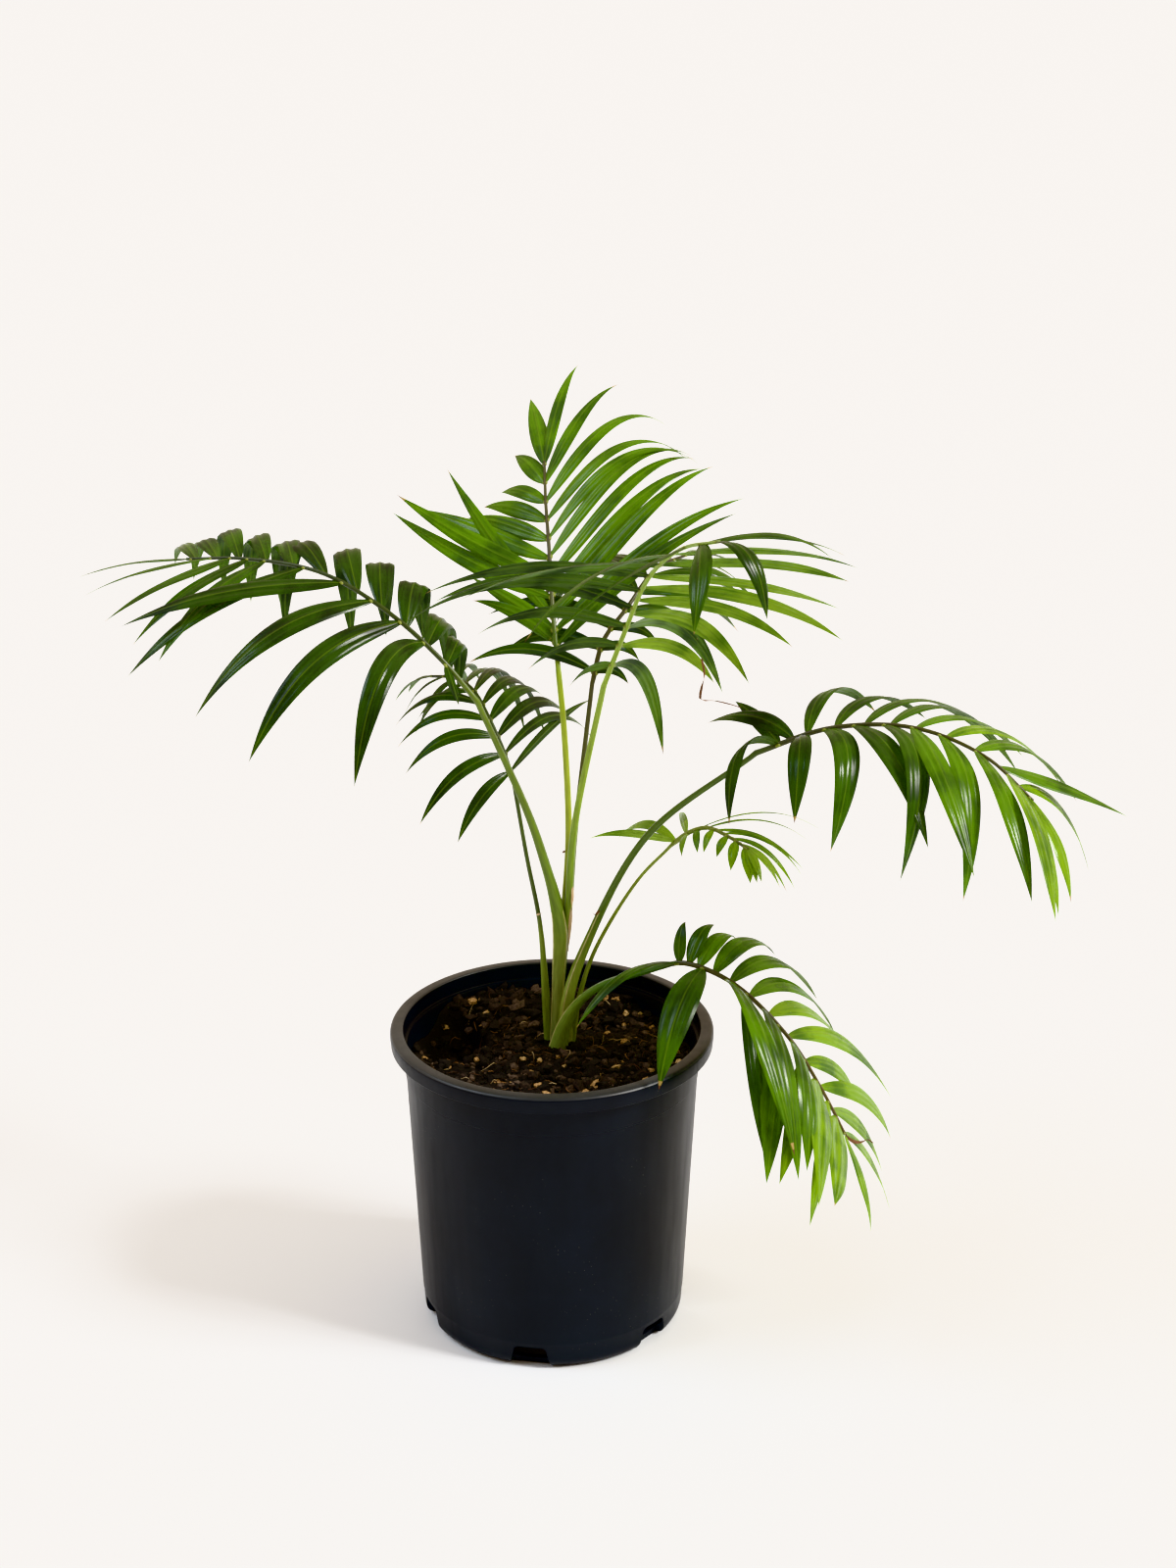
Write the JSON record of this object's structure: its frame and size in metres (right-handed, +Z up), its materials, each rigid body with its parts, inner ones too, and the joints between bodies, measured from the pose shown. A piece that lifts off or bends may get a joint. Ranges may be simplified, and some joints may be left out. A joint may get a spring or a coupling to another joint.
{
  "type": "potted parlour palm",
  "caption": "Young parlour palm with arching feather-shaped fronds that spread from one crown, planted in a round black nursery pot.",
  "frame": {"origin": "middle of the pot's flat underside, at floor height", "axes": "+Z up the pot's axis, -Y the side of the pot that faces the viewer, +X towards the lowest frond and the long frond on the right"},
  "size_m": [0.6627, 0.3853, 0.5925],
  "materials": {
    "pot_plastic": "black moulded plastic, satin, rim a little glossier",
    "potting_mix": "damp, crumbly potting mix with bark fibres and tan chips",
    "sheath": "grey-green leaf sheaths with paler edges",
    "stem_left_long": "smooth living leaf stalk, satin",
    "stem_right_long": "smooth living leaf stalk, satin",
    "stem_low_right": "smooth living leaf stalk, satin",
    "stem_top": "smooth living leaf stalk, satin",
    "stem_right_light": "smooth living leaf stalk, satin",
    "stem_middle_dark": "smooth living leaf stalk, satin",
    "stem_left_back": "smooth living leaf stalk, satin",
    "stem_right_small": "smooth living leaf stalk, satin",
    "leaf_left_long": "living palm leaflets, ribbed lengthways, semi-gloss",
    "leaf_right_long": "living palm leaflets, ribbed lengthways, semi-gloss",
    "leaf_low_right": "living palm leaflets, ribbed lengthways, semi-gloss",
    "leaf_top": "living palm leaflets, ribbed lengthways, semi-gloss",
    "leaf_right_light": "living palm leaflets, ribbed lengthways, semi-gloss",
    "leaf_middle_dark": "living palm leaflets, ribbed lengthways, semi-gloss",
    "leaf_left_back": "living palm leaflets, ribbed lengthways, semi-gloss",
    "leaf_right_small": "living palm leaflets, ribbed lengthways, semi-gloss"
  },
  "bodies": {
    "root": {"pot": "pot_plastic", "soil": "potting_mix", "crown": "sheath", "stalk_left_long": "stem_left_long", "stalk_right_long": "stem_right_long", "stalk_low_right": "stem_low_right", "stalk_top": "stem_top", "stalk_right_light": "stem_right_light", "stalk_middle_dark": "stem_middle_dark", "stalk_left_back": "stem_left_back", "stalk_right_small": "stem_right_small", "frond_left_long": "leaf_left_long", "frond_right_long": "leaf_right_long", "frond_low_right": "leaf_low_right", "frond_top": "leaf_top", "frond_right_light": "leaf_right_light", "frond_middle_dark": "leaf_middle_dark", "frond_left_back": "leaf_left_back", "frond_right_small": "leaf_right_small"}
  },
  "joints": []
}
